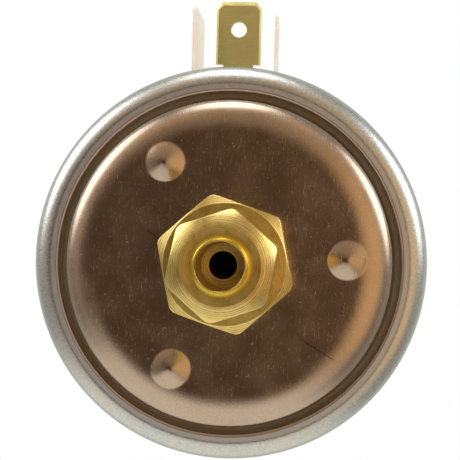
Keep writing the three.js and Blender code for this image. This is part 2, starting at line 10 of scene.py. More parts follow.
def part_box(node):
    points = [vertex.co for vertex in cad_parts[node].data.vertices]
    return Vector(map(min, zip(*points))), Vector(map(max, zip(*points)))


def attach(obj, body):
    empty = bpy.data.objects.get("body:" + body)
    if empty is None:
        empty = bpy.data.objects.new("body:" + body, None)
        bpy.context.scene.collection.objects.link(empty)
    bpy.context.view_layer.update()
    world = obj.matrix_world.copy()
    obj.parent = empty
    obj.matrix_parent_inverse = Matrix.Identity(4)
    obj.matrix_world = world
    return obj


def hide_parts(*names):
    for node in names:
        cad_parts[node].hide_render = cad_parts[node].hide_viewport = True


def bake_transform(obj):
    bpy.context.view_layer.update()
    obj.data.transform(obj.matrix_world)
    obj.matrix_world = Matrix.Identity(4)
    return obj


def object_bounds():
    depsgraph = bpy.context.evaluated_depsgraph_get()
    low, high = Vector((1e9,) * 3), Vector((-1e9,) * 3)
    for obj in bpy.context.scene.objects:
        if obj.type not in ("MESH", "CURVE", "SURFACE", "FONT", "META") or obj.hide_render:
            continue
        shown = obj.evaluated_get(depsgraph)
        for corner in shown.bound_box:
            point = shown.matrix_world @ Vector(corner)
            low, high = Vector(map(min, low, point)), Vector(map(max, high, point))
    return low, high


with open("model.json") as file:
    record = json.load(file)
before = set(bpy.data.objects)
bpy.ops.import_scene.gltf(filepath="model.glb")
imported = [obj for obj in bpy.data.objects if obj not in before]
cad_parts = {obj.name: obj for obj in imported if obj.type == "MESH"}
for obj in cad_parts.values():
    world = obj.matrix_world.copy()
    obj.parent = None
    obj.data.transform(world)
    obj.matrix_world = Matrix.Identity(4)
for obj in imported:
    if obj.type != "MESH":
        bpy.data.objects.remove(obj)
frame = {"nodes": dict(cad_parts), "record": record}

# The port looks up along +Z, the straight terminal points along +Y, and the rear cover
# rests on the floor. Shapes are worked out in millimetres and scaled once, in piece().

cad_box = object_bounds()
record = frame["record"]
MM = 0.001
TURN = 2 * math.pi
AROUND = 288  # facets around a large turned piece
SMALL = 96  # facets around a small one
GAP = 0.3  # what a piece keeps from the recess cut for it

BODY_OF = {n: body for body, nodes in record["behaviour"]["bodies"].items() for n in nodes}
SLOT_OF = {part["node"]: part["material_slot"] for part in record["subparts"]}
MOUNT = {mount["name"]: mount for mount in record["mounts"]}
NUT_FACE = -1.25  # the nut's flat face around its collar


def low(node):
    return np.array(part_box(node)[0]) / MM


def high(node):
    return np.array(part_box(node)[1]) / MM


# ------------------------------------------------------------------ camera

def photo_camera():
    """Looks into the port from 200 mm in front of the straight terminal, a little to the right."""
    distance = 200 * MM
    lean = math.radians(3.37)
    roll = math.radians(1.46)
    terminal_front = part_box("terminal_common")[1].z
    right = Vector((math.cos(roll), math.sin(roll), 0))
    up = Vector((-math.sin(roll), math.cos(roll), 0))
    aim = right * (-0.43 * MM) + up * (4.4 * MM) + Vector((0, 0, terminal_front))
    towards = right * math.sin(lean) + Vector((0, 0, math.cos(lean)))
    place = aim + towards * distance
    side = up.cross(towards).normalized()
    data = bpy.data.cameras.new("photo_camera")
    data.sensor_width = 36
    data.lens = 111.1
    data.clip_start = 0.01
    camera = bpy.data.objects.new("photo_camera", data)
    bpy.context.scene.collection.objects.link(camera)
    turn = Matrix((side, towards.cross(side), towards)).transposed().to_4x4()
    camera.matrix_world = Matrix.Translation(place) @ turn
    bpy.context.scene.camera = camera


photo_camera()


# ------------------------------------------------------------------ node graphs

class Graph:
    """A node tree that is written as expressions: each call returns an output socket."""

    def __init__(self, tree):
        self.tree = tree

    def new(self, kind, inputs=None, out=0, **settings):
        node = self.tree.nodes.new("ShaderNode" + kind)
        for name, value in settings.items():
            setattr(node, name, value)
        for name, value in (inputs or {}).items():
            self.put(node.inputs[name], value)
        return node.outputs[out]

    def put(self, socket, value):
        if isinstance(value, bpy.types.NodeSocket):
            self.tree.links.new(value, socket)
        else:
            socket.default_value = value

    def sum(self, a, b):
        return self.new("Math", {0: a, 1: b}, operation="ADD")

    def times(self, a, b):
        return self.new("Math", {0: a, 1: b}, operation="MULTIPLY")

    def most(self, a, b):
        return self.new("Math", {0: a, 1: b}, operation="MAXIMUM")

    def calc(self, operation, *values):
        return self.new("Math", dict(enumerate(values)), operation=operation)

    def step(self, value, start, end, bottom=0.0, top=1.0):
        """Eases from bottom to top as value goes from start to end."""
        ends = {"Value": value, "From Min": start, "From Max": end, "To Min": bottom, "To Max": top}
        return self.new("MapRange", ends, interpolation_type="SMOOTHSTEP")

    def mix(self, share, a, b):
        return self.new("Mix", {0: share, 6: a, 7: b}, out=2, data_type="RGBA")

    def place(self, stretch=(1, 1, 1)):
        """The point in the part's frame, in millimetres, each axis stretched."""
        point = self.new("TexCoord", out="Object")
        scale = [1000 * s for s in stretch]
        return self.new("VectorMath", {0: point, 1: scale}, operation="MULTIPLY")

    def noise(self, vector, scale, detail=2.0, rough=0.5):
        inputs = {"Vector": vector, "Scale": scale, "Detail": detail, "Roughness": rough}
        return self.new("TexNoise", inputs)

    def bump(self, height, depth, strength=1.0, under=None):
        """Raises the surface by up to depth millimetres."""
        inputs = {"Strength": strength, "Distance": depth * MM, "Height": height}
        if under is not None:
            inputs["Normal"] = under
        return self.new("Bump", inputs)


def rgb(*colour):
    return (*colour, 1.0)


def material(name, build, **constants):
    """A material whose build function returns what it links, by shader input."""
    made = bpy.data.materials.new(name)
    made.use_nodes = True
    graph = Graph(made.node_tree)
    shader = made.node_tree.nodes["Principled BSDF"]
    for socket, value in {**build(graph), **constants}.items():
        graph.put(shader.inputs[socket.replace("_", " ")], value)
    return made


# ------------------------------------------------------------------ materials

def facing_up(g):
    """1 on faces that look along the port's axis, 0 on those that look sideways."""
    normal = g.new("NewGeometry", out="Normal")
    z = g.new("SeparateXYZ", {0: normal}, out=2)
    return g.step(g.calc("ABSOLUTE", z), 0.72, 0.88)


def off_axis(g):
    """How far a point lies from the port's axis, in millimetres."""
    point = g.place()
    x, y = (g.new("SeparateXYZ", {0: point}, out=i) for i in (0, 1))
    return g.calc("SQRT", g.sum(g.times(x, x), g.times(y, y)))


def lathe_rings(g, pitch):
    """Uneven grooves about the axis, as a turning tool leaves them."""
    radius = off_axis(g)
    uneven = g.noise(g.new("CombineXYZ", {0: radius}), 1.6, 2.0)
    feed = g.calc("SINE", g.times(g.sum(radius, g.times(uneven, 0.6)), TURN / pitch))
    fine = g.noise(g.new("CombineXYZ", {0: radius}), 6.0, 3.0, 0.7)
    return g.sum(g.times(g.times(feed, uneven), 0.22), fine)


def brass(g):
    up = facing_up(g)
    rings = lathe_rings(g, 0.24)
    drawn = g.noise(g.place((6, 6, 0.5)), 1.0, 3.0, 0.65)
    cast = g.noise(g.place(), 0.55, 3.0)
    speck = g.noise(g.place(), 9.0, 2.0)
    pale = g.mix(g.step(cast, 0.3, 0.7), rgb(0.92, 0.72, 0.25), rgb(0.97, 0.80, 0.32))
    # Darker brown in the turned grooves on faces that look along the axis, broken up in arcs: painted
    # shade in the grooves.
    groove = g.times(up, g.step(rings, 0.42, 0.60, 0.75, 0.0))
    arcs = g.step(g.noise(g.place((1, 1, 0.2)), 1.3, 4.0, 0.7), 0.35, 0.65, 0.45, 1.0)
    tone = g.mix(g.times(groove, arcs), pale, rgb(0.50, 0.32, 0.08))
    # Pale gold flecks from the fine noise are painted glints.
    painted_highlights = g.mix(g.step(speck, 0.62, 0.72, 0.0, 0.6), tone, rgb(0.99, 0.88, 0.50))
    radius = off_axis(g)
    height = g.new("SeparateXYZ", {0: g.place()}, out=2)
    # A saturated gold ring at the foot of the nut's collar is a painted highlight.
    foot = g.times(g.step(radius, 3.15, 3.35), g.step(radius, 3.95, 3.7))
    foot = g.times(foot, g.step(height, NUT_FACE - 0.4, NUT_FACE - 0.2))
    painted_highlights = g.mix(g.times(foot, 0.85), painted_highlights, rgb(1.0, 0.74, 0.06))
    marks = g.mix(up, g.new("CombineXYZ", {0: drawn}), g.new("CombineXYZ", {0: rings}))
    relief = g.new("SeparateXYZ", {0: marks})
    fine = g.bump(relief, 0.045, 0.6)
    satin = g.step(g.sum(cast, g.times(speck, 0.3)), 0.4, 0.95, 0.17, 0.28)
    return {
        "Base Color": painted_highlights,
        "Roughness": g.sum(satin, g.times(up, g.step(rings, 0.4, 0.62, 0.26, 0.08))),
        "Normal": g.bump(speck, 0.012, 0.4, fine),
        "Tangent": g.new("Tangent", direction_type="RADIAL", axis="Z"),
    }


def zinc(g):
    mottle = g.noise(g.place(), 2.6, 3.0, 0.6)
    grain = g.noise(g.place(), 6.0, 2.0)
    tint = g.noise(g.place(), 0.12, 2.0)
    cool = g.mix(g.step(tint, 0.35, 0.65), rgb(0.60, 0.65, 0.68), rgb(0.67, 0.68, 0.65))
    shade = g.mix(g.step(mottle, 0.35, 0.7), cool, rgb(0.76, 0.78, 0.77))
    fine = g.bump(mottle, 0.03, 0.6)
    return {
        "Base Color": shade,
        "Roughness": g.step(grain, 0.25, 0.75, 0.24, 0.4),
        "Normal": g.bump(grain, 0.012, 0.6, fine),
    }


def crimped_zinc(g):
    """Zinc plate that turns bluish on the flat lip and shows bronze where its edge is sheared."""
    plate = zinc(g)
    radius = off_axis(g)
    height = g.new("SeparateXYZ", {0: g.place()}, out=2)
    top = g.step(height, high("crimp_ring")[2] - 0.8, high("crimp_ring")[2] - 0.3)
    flat = g.times(top, g.step(radius, 24.2, 23.9))
    blue = g.mix(g.times(flat, 0.8), plate["Base Color"], rgb(0.76, 0.80, 0.90))
    outer = g.times(g.step(radius, 23.40, 23.34), g.step(radius, 23.20, 23.26))
    inner = g.times(g.step(radius, 23.12, 23.06), top)
    bronze = g.mix(g.most(g.times(outer, top), inner), blue, rgb(0.62, 0.42, 0.26))
    return {**plate, "Base Color": bronze, "Roughness": g.sum(plate["Roughness"], g.times(flat, 0.12))}


def scratch(g, point, start, end, width):
    """1 along a straight scratch between two points of the cap's face, in millimetres."""
    (x0, y0), (x1, y1) = start, end
    length = math.hypot(x1 - x0, y1 - y0)
    along_x, along_y = (x1 - x0) / length, (y1 - y0) / length
    x, y = (g.new("SeparateXYZ", {0: point}, out=i) for i in (0, 1))
    dx, dy = g.sum(x, -x0), g.sum(y, -y0)
    along = g.sum(g.times(dx, along_x), g.times(dy, along_y))
    across = g.calc("ABSOLUTE", g.sum(g.times(dx, -along_y), g.times(dy, along_x)))
    inside = g.times(g.step(along, 0, 0.4), g.step(along, length, length - 0.8))
    return g.times(inside, g.step(across, width, width * 0.4))


def cap_steel(g):
    point = g.place()
    rubbed = g.noise(g.place((9, 0.7, 1)), 1.0, 3.0, 0.7)
    haze = g.noise(point, 0.25, 3.0)
    pits = g.noise(point, 3.4, 2.0)
    grain = g.noise(point, 8.0, 2.0, 0.7)
    streak = g.step(rubbed, 0.60, 0.72)
    pitted = g.step(pits, 0.69, 0.75)
    base = g.mix(g.step(haze, 0.3, 0.7), rgb(0.60, 0.49, 0.39), rgb(0.66, 0.54, 0.43))
    foot = g.step(off_axis(g), 21.7, 22.0)
    base = g.mix(foot, base, rgb(0.80, 0.72, 0.58))
    bright = g.mix(g.times(g.most(streak, pitted), 0.7), base, rgb(0.95, 0.85, 0.72))
    left = scratch(g, point, (-10.9, 4.3), (-8.2, 2.4), 0.09)
    right = scratch(g, point, (9.8, -9.6), (14.8, -12.6), 0.08)
    dark = g.mix(g.times(g.most(left, right), 0.85), bright, rgb(0.10, 0.07, 0.05))
    dark = g.mix(g.step(grain, 0.38, 0.62, 0.35, 0.0), dark, rgb(0.34, 0.25, 0.19))
    rough = g.sum(g.step(haze, 0.3, 0.7, 0.19, 0.25), g.times(foot, 0.36))
    rougher = g.sum(rough, g.times(g.most(streak, pitted), 0.18))
    rings = g.bump(g.times(lathe_rings(g, 0.3), foot), 0.03, 0.6)
    fine = g.bump(rubbed, 0.01, 0.4, rings)
    return {
        "Base Color": dark,
        "Roughness": rougher,
        "Normal": g.bump(pits, 0.018, 0.45, fine),
    }


def tab_brass(g):
    rolled = g.noise(g.place((0.5, 7, 7)), 1.0, 3.0, 0.65)
    stain = g.noise(g.place(), 0.6, 3.0)
    base = g.mix(g.step(stain, 0.3, 0.7), rgb(0.84, 0.80, 0.36), rgb(0.76, 0.73, 0.34))
    return {
        "Base Color": g.mix(g.step(rolled, 0.4, 0.75), base, rgb(0.92, 0.87, 0.42)),
        "Roughness": g.step(stain, 0.3, 0.7, 0.50, 0.58),
        "Normal": g.bump(rolled, 0.01, 0.35),
    }


def wrought(pale, dark, smooth, rough, stretch=(1, 1, 1), scale=3.0, depth=0.008):
    """A plain metal: two tones, a grain that may be drawn out along an axis, and fine pits."""
    def build(g):
        grain = g.noise(g.place(stretch), scale, 3.0, 0.6)
        broad = g.noise(g.place(), 0.5, 2.0)
        tone = g.mix(g.step(broad, 0.3, 0.7), rgb(*pale), rgb(*dark))
        return {
            "Base Color": g.mix(g.step(grain, 0.55, 0.8), tone, rgb(*(min(1, c * 1.15) for c in pale))),
            "Roughness": g.step(grain, 0.3, 0.7, smooth, rough),
            "Normal": g.bump(grain, depth, 0.5),
        }
    return build


def nylon(g):
    cloud = g.noise(g.place(), 0.2, 3.0)
    satin = g.noise(g.place(), 5.0, 2.0)
    return {
        "Base Color": g.mix(g.step(cloud, 0.3, 0.7), rgb(0.90, 0.88, 0.81), rgb(0.93, 0.915, 0.86)),
        "Roughness": g.step(satin, 0.3, 0.7, 0.38, 0.5),
        "Normal": g.bump(satin, 0.006, 0.5),
    }


def rubber(g):
    grain = g.noise(g.place(), 4.0, 3.0)
    return {
        "Base Color": g.mix(g.step(grain, 0.3, 0.7), rgb(0.012, 0.012, 0.014), rgb(0.03, 0.03, 0.032)),
        "Roughness": g.step(grain, 0.3, 0.7, 0.6, 0.8),
        "Normal": g.bump(grain, 0.02, 0.5),
    }


FINISH = {
    "brass": material("turned_brass", brass, Metallic=1.0, Anisotropic=0.7, Anisotropic_Rotation=0.25),
    "bronze": material("spring_bronze", wrought((0.72, 0.50, 0.30), (0.62, 0.42, 0.26), 0.25, 0.38),
                       Metallic=1.0),
    "copper": material("annealed_copper", wrought((0.80, 0.48, 0.33), (0.66, 0.36, 0.24), 0.3, 0.45),
                       Metallic=1.0),
    "tab_brass": material("rolled_brass", tab_brass, Metallic=1.0),
    "zinc_steel": material("zinc_plate", zinc, Metallic=1.0),
    "crimp_ring": material("crimped_zinc_plate", crimped_zinc, Metallic=1.0),
    "cap_steel": material("drawn_steel", cap_steel, Metallic=1.0),
    "spring_steel": material("drawn_wire", wrought((0.50, 0.50, 0.52), (0.40, 0.40, 0.42), 0.28, 0.4),
                             Metallic=1.0),
    "silver": material("contact_silver", wrought((0.90, 0.89, 0.86), (0.78, 0.76, 0.72), 0.22, 0.36),
                       Metallic=1.0),
    "nylon": material("natural_nylon", nylon, Subsurface_Weight=0.7, Subsurface_Scale=0.0015,
                      IOR=1.53),
    "rubber": material("moulded_rubber", rubber, IOR=1.5),
}


# ------------------------------------------------------------------ mesh tools

def angles(segments):
    return np.linspace(0, TURN, segments, endpoint=False)


def tidy(obj, sharp=32):
    """Merges what meets, turns the faces outwards and shades smooth up to the sharp angle."""
    work = bmesh.new()
    work.from_mesh(obj.data)
    bmesh.ops.remove_doubles(work, verts=work.verts, dist=1e-7)
    bmesh.ops.dissolve_degenerate(work, edges=work.edges, dist=1e-7)
    bmesh.ops.recalc_face_normals(work, faces=work.faces)
    work.to_mesh(obj.data)
    work.free()
    obj.data.shade_smooth()
    obj.data.set_sharp_from_angle(angle=math.radians(sharp))
    return obj


def piece(name, corners, faces):
    """A mesh object from corners in millimetres."""
    mesh = bpy.data.meshes.new(name)
    mesh.from_pydata((np.asarray(corners, float) * MM).tolist(), [], faces)
    obj = bpy.data.objects.new(name, mesh)
    bpy.context.scene.collection.objects.link(obj)
    return tidy(obj)


def grid(name, rows, closed):
    """A skin over rows of points; each row is a loop, and closed joins the last to the first."""
    count, across = rows.shape[:2]
    i, j = np.meshgrid(np.arange(count if closed else count - 1), np.arange(across), indexing="ij")
    below, beside = (i + 1) % count, (j + 1) % across
    quads = [i * across + j, i * across + beside, below * across + beside, below * across + j]
    faces = np.stack(quads, axis=-1).reshape(-1, 4)
    return piece(name, rows.reshape(-1, 3), faces.tolist())


def supported(rows, closed):
    """Adds a row close to each end of a long stretch, so that flat faces shade flat."""
    out = []
    for here, there in zip(rows, rows[1:] + (rows[:1] if closed else [])):
        out.append(here)
        length = np.linalg.norm(there - here, axis=1).max()
        if length > 0.3:
            share = min(0.2, 0.06 / length)
            out += [here + (there - here) * share, there + (here - there) * share]
    return out if closed else out + [rows[-1]]


def rounded(corners, closed=True, steps=4):
    """A section with filleted corners, each (radius, height, fillet); any may be an array."""
    width = max(np.size(value) for corner in corners for value in corner)
    points = [
        np.stack([np.broadcast_to(np.asarray(value, float), width) for value in corner[:2]], axis=1)
        for corner in corners
    ]
    rows = []
    for i, (corner, point) in enumerate(zip(corners, points)):
        if len(corner) < 3:
            rows.append(point)
            continue
        before = points[i - 1] - point
        after = points[(i + 1) % len(points)] - point
        before_length = np.linalg.norm(before, axis=1, keepdims=True)
        after_length = np.linalg.norm(after, axis=1, keepdims=True)
        before, after = before / before_length, after / after_length
        half = np.arccos(np.clip((before * after).sum(axis=1, keepdims=True), -1, 1)) / 2
        reach = 0.45 * np.minimum(before_length, after_length)
        fillet = np.minimum(corner[2], reach * np.tan(half))
        middle = before + after
        middle = point + middle / np.linalg.norm(middle, axis=1, keepdims=True) * fillet / np.sin(half)
        start = point + before * fillet / np.tan(half) - middle
        end = point + after * fillet / np.tan(half) - middle
        sweep = math.pi - 2 * half
        for k in range(steps + 1):
            share = k / steps
            reached = np.sin((1 - share) * sweep) * start + np.sin(share * sweep) * end
            rows.append(middle + reached / np.sin(sweep))
    return supported(rows, closed)


def skin(name, rows, segments, closed=True, at=(0, 0)):
    """Turns rows of (radius, height) about an axis along Z."""
    azimuth = angles(segments)
    points = np.zeros((len(rows), segments, 3))
    for row, ring in zip(points, rows):
        ring = np.broadcast_to(ring, (segments, 2))
        row[:, 0] = ring[:, 0] * np.cos(azimuth) + at[0]
        row[:, 1] = ring[:, 0] * np.sin(azimuth) + at[1]
        row[:, 2] = ring[:, 1]
    return grid(name, points, closed)


def turned(name, corners, segments=SMALL, at=(0, 0)):
    """A turned piece; a section that starts on the axis also ends on it."""
    closed = np.max(corners[0][0]) > 0
    return skin(name, rounded(corners, closed), segments, closed, at)


def loft(name, loops):
    """A solid through loops of points, each with the same count, capped at both ends."""
    count = len(loops[0])
    faces = [list(range(count)), list(range((len(loops) - 1) * count, len(loops) * count))]
    for k in range(len(loops) - 1):
        for i in range(count):
            j = (i + 1) % count
            faces.append([k * count + i, k * count + j, (k + 1) * count + j, (k + 1) * count + i])
    return piece(name, np.concatenate(loops), faces)


def plank(name, corner, opposite):
    """A rectangular block between two corners."""
    (x0, y0, z0), (x1, y1, z1) = corner, opposite
    outline = [(x0, y0), (x1, y0), (x1, y1), (x0, y1)]
    return loft(name, [np.array([(x, y, z) for x, y in outline]) for z in (z0, z1)])


def applied(obj):
    """Makes what the modifiers show the piece's own mesh."""
    graph = bpy.context.evaluated_depsgraph_get()
    mesh = bpy.data.meshes.new_from_object(obj.evaluated_get(graph))
    obj.modifiers.clear()
    obj.data = mesh
    return obj


def combine(obj, tool, operation):
    """Joins the tool to the piece or cuts it away, and drops the tool."""
    modifier = obj.modifiers.new(operation, "BOOLEAN")
    modifier.operation = operation
    modifier.solver = "MANIFOLD"
    modifier.object = tool
    applied(obj)
    bpy.data.objects.remove(tool)
    return tidy(obj)


def cut(obj, *tools):
    for tool in tools:
        combine(obj, tool, "DIFFERENCE")
    return obj


def join(obj, *tools):
    for tool in tools:
        combine(obj, tool, "UNION")
    return obj


def softened(obj, width, angle=30, segments=3, sharp=40):
    """Rounds the sharp edges and keeps the flat faces shading flat."""
    work = bmesh.new()
    work.from_mesh(obj.data)
    flat = math.radians(0.8)
    bmesh.ops.dissolve_limit(work, verts=work.verts, edges=work.edges, angle_limit=flat)
    limit = math.radians(angle)
    edges = [e for e in work.edges if e.is_manifold and e.calc_face_angle(0) > limit]
    bmesh.ops.bevel(work, geom=edges, offset=width * MM, offset_type="OFFSET", segments=segments,
                    profile=0.5, affect="EDGES", clamp_overlap=True)
    work.to_mesh(obj.data)
    work.free()
    tidy(obj, sharp)
    obj.modifiers.new("flat", "WEIGHTED_NORMAL").keep_sharp = True
    return applied(obj)


def copy_of(node):
    """The CAD node's own shape as a new piece."""
    mesh = frame["nodes"][node].data.copy()
    mesh.materials.clear()
    if mesh.has_custom_normals:
        mesh.normals_split_custom_set([(0, 0, 0)] * len(mesh.loops))
    obj = bpy.data.objects.new(node + "_copy", mesh)
    bpy.context.scene.collection.objects.link(obj)
    return tidy(obj)


def dress(obj, node):
    """Gives a piece its node's finish and says which node it stands for."""
    obj.name = obj.data.name = node + "_fine"
    obj.data.materials.clear()
    obj.data.materials.append(FINISH.get(node, FINISH[SLOT_OF[node]]))
    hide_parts(node)
    return obj


def stand_in(obj, node):
    """The piece replaces its CAD node and moves with the node's body."""
    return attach(dress(obj, node), BODY_OF[node])


def helix_radius(segments, height, outer, depth, pitch):
    """The radius of a right-hand thread at one height, for each azimuth."""
    phase = (height / pitch - angles(segments) / TURN) % 1
    return outer - depth * np.clip(np.abs(phase - 0.5) * 3.2 - 0.3, 0, 1)


def thread(segments, low_z, high_z, outer, depth, pitch):
    """Rows of a thread from low_z up to high_z, as corners without fillets."""
    steps = max(2, round((high_z - low_z) / pitch * 10))
    heights = np.linspace(low_z, high_z, steps)
    return [(helix_radius(segments, z, outer, depth, pitch), z) for z in heights]


# ------------------------------------------------------------------ port

def hexagon(mount, segments, corner, softness):
    """The radius of a hexagonal bar at each azimuth, its corners turned to a radius."""
    face = MOUNT[mount]
    axis, place = np.array(face["axis"]), np.array(face["pos_m"]) / MM
    half = float(axis[:2] @ place[:2])
    turn = math.atan2(axis[1], axis[0])
    around = (angles(segments) - turn + TURN / 12) % (TURN / 6) - TURN / 12
    flat = half / np.cos(around)
    return -softness * np.log(np.exp(-flat / softness) + math.exp(-corner / softness))


TUBE = 3.0
PASSAGE = 1.75
NOSE = 4.9
SHANK = 4.0


def port_body():
    nut_back, nose = low("compression_nut")[2], high("port_body")[2]
    front = nut_back - GAP
    rear = high("port_seal_ring")[2] + 0.05
    upset_rear = low("port_body")[2]
    stop = MOUNT["tube_stop"]["pos_m"][2] / MM
    segments = AROUND
    corner, ring, slope = 9.05, 7.8, 0.6
    flats = hexagon("body_wrench_flat", segments, corner, 0.06)
    edge = front - (flats - ring) * slope
    return turned("port", [
        (PASSAGE, upset_rear, 0.15), (4.8, upset_rear, 0.2), (4.8, upset_rear + 0.8, 0.15),
        (SHANK, upset_rear + 0.8), (SHANK, rear), (flats, rear, 0.12), (flats, edge, 0.12),
        (ring, front, 0.1), (NOSE + 0.3, front), (NOSE - 0.35, front - 0.2),
        (NOSE - 0.35, front + 0.2),
        *thread(segments, front + 0.5, nose - 0.6, NOSE, 0.4, 1.0),
        (NOSE - 0.35, nose, 0.1), (4.4, nose), (TUBE + 0.05, nose - 1.3),
        (TUBE + 0.05, stop + 0.35), (TUBE - 0.3, stop), (PASSAGE, stop, 0.12),
    ], segments)


def compression_nut():
    back, mouth = low("compression_nut")[2], high("compression_nut")[2]
    segments = AROUND
    corner, chamfer = 7.14, 6.1
    flats = hexagon("nut_wrench_flat", segments, corner, 0.06)
    ridge, ridge_z = 5.0, NUT_FACE + 0.1
    collar = 3.33
    bore = NOSE + 0.1
    crown = []
    for share in np.linspace(1, 0.04, 10):
        out = (flats - ridge) * share
        crown.append((ridge + out, ridge_z - 0.27 * out - 0.16 * out ** 2))
    return turned("nut", [
        (bore, back, 0.15), (chamfer, back, 0.1), (flats, back + (flats - chamfer) * 0.5, 0.1),
        (*crown[0], 0.12), *crown[1:], (ridge - 0.02, ridge_z, 0.05),
        (ridge - 0.1, ridge_z - 0.05, 0.05), (collar + 0.5, NUT_FACE - 0.05, 0.1),
        (collar, NUT_FACE, 0.25), (collar, mouth - 0.02, 0.1), (TUBE + 0.1, mouth, 0.06),
        (TUBE, mouth - 0.14, 0.1), (TUBE, mouth - 2.8, 0.1), (bore, mouth - 3.4),
    ], segments)


def ferrule():
    rear, front = low("ferrule")[2], high("ferrule")[2]
    inner = TUBE + 0.05
    return turned("olive", [
        (inner, rear, 0.03), (inner + 0.15, rear, 0.05), (4.2, rear + 1.0, 0.2),
        (4.2, front - 0.65, 0.2), (3.3, front, 0.08), (inner, front, 0.05),
    ])


def washer(node, fillet):
    """A flat ring that fills its node's box, with the hole that the shank needs."""
    bottom, top = low(node), high(node)
    hole = SHANK + (0.2 if node == "port_seal_ring" else 0.1)
    return turned(node, [
        (hole, bottom[2], fillet), (top[0], bottom[2], fillet), (top[0], top[2], fillet),
        (hole, top[2], fillet),
    ], 160)


stand_in(port_body(), "port_body")
stand_in(compression_nut(), "compression_nut")
stand_in(ferrule(), "ferrule")
stand_in(washer("port_seal_ring", 0.12), "port_seal_ring")
stand_in(washer("backing_washer", 0.15), "backing_washer")


# ------------------------------------------------------------------ pressure chamber

BUMP_RING = 15.7
BUMP_RADIUS = 2.65
BUMP_RISE = 0.95
BUMP_ANGLES = [3, 123, 243]


def smooth_most(a, b, softness):
    return softness * np.logaddexp(a / softness, b / softness)


def cap_relief(x, y):
    """How far the three blunt bumps and the slight waves of the sheet stand above the flat face."""
    rise = np.zeros_like(x)
    for degrees in BUMP_ANGLES:
        cx, cy = (BUMP_RING * f(math.radians(degrees)) for f in (math.cos, math.sin))
        away = np.hypot(x - cx, y - cy) / BUMP_RADIUS
        blunt = np.hypot(away, 0.14) - 0.14
        dome = BUMP_RISE * (1 - 0.72 * blunt - 0.28 * away ** 2 - 0.72 * (1 - math.hypot(1, 0.14) + 0.14))
        rise = np.maximum(rise, smooth_most(dome, 0 * dome, 0.02) - 0.02 * np.exp(-np.abs(away - 1)))
    rise = np.where(rise < 0.001, 0, rise)
    waves = np.sin(x * 0.31 + 0.7) * np.sin(y * 0.27 - 0.4) + 0.5 * np.sin(x * 0.13 - y * 0.19)
    return rise + 0.012 * waves


def pressure_cap():
    bottom, face = low("pressure_cap")[2], low("port_seal_ring")[2] - 0.05
    flange = high("pressure_cap")[0]
    flange_top = bottom + 0.8
    wall, thick = 21.8, 1.0
    reach, drop = 4.6, 2.6
    hole = SHANK + 0.1
    foot = 0.7
    radii = np.concatenate([np.arange(hole + 0.3, 12.6, 0.45), np.arange(12.7, wall - reach, 0.08)])
    rows = [[hole, face - thick], [hole, face - 0.1], [hole + 0.1, face]]
    rows += [[r, face] for r in radii]
    for angle in np.linspace(0, math.pi / 2, 48):
        rows.append([wall - reach + reach * math.sin(angle), face - drop + drop * math.cos(angle)])
    for angle in np.linspace(0, math.pi / 2, 7):
        rows.append([wall + foot - foot * math.cos(angle), flange_top + foot - foot * math.sin(angle)])
    top_count = len(rows)
    rows += [[flange - 0.1, flange_top], [flange, flange_top - 0.1], [flange, bottom + 0.1]]
    rows += [[flange - 0.1, bottom], [wall - thick, bottom]]
    for angle in np.linspace(math.pi / 2, 0, 16):
        inner_reach, inner_drop = reach - thick * 0.6, drop - thick
        r = wall - thick - inner_reach + inner_reach * math.sin(angle)
        rows.append([r, face - drop + inner_drop * math.cos(angle)])
    rows += [[r, face - thick] for r in radii[::-1] if r < rows[-1][0]]
    segments = 480
    azimuth = angles(segments)
    table = np.array(rows)
    points = np.zeros((len(rows), segments, 3))
    points[..., 0] = table[:, :1] * np.cos(azimuth)
    points[..., 1] = table[:, :1] * np.sin(azimuth)
    points[..., 2] = table[:, 1:]
    relief = cap_relief(points[..., 0], points[..., 1])
    fade = np.clip((wall - table[:, :1]) / 1.2, 0, 1)
    inside = np.zeros(len(rows), bool)
    inside[top_count:] = table[top_count:, 1] > flange_top
    inside[:top_count] = True
    points[..., 2] += relief * fade * inside[:, None]
    return grid("cap", points, True)


def crimp_ring():
    rear, crest, outer = low("crimp_ring")[2], high("crimp_ring")[2], high("crimp_ring")[0]
    inner_rear = high("rear_cover")[0] + 0.4
    sheet = 0.6
    roll, lean = 2.82, math.radians(80)
    middle, turn_z = outer - roll, crest - 0.09 - roll * math.sin(lean)
    lip, lip_z = 22.95, crest - 2.6
    edge = 0.3

    def arc(centre, height, radius, start, end, steps):
        sweep = np.linspace(start, end, steps)
        return [(centre + radius * math.cos(a), height + radius * math.sin(a)) for a in sweep]

    band = np.linspace(middle + roll * math.cos(lean), lip + edge, 9)[1:]
    rows = [
        (inner_rear, rear), *arc(outer - 0.8, rear + 0.8, 0.8, -math.pi / 2, 0, 8),
        *arc(middle, turn_z, roll, 0, lean, 40),
        *[(r, crest - 0.08 * (r - lip) / (band[0] - lip)) for r in band],
        *arc(lip + edge, crest - edge - 0.03, edge, math.pi / 2, math.pi, 6)[1:],
        (lip, lip_z + 0.1), (lip + 0.1, lip_z), (lip + sheet - 0.1, lip_z), (lip + sheet, lip_z + 0.1),
        (lip + sheet, crest - sheet),
        *arc(middle, turn_z, roll - sheet, lean, 0, 16),
        (outer - sheet, rear + sheet), (inner_rear, rear + sheet),
    ]
    rows = supported([np.array([row]) for row in rows], True)
    segments = 480
    azimuth = angles(segments)
    ripple = np.sin(azimuth * 61 + 3 * np.sin(azimuth * 7)) * (0.5 + 0.5 * np.sin(azimuth * 3 + 1))
    wander = np.sin(azimuth * 2 + 0.6) + 0.6 * np.sin(azimuth * 5 - 1.1)
    out = []
    for row in rows:
        ring = np.repeat(row, segments, axis=0)
        radius, height = row[0]
        if radius < lip + 0.2 and height > lip_z - 0.2:
            ring[:, 0] += 0.008 * ripple + 0.02 * wander
        if radius < band[0] and height > crest - 0.2:
            ring[:, 1] += 0.007 * ripple - 0.012
        out.append(ring)
    return skin("ring", out, segments)


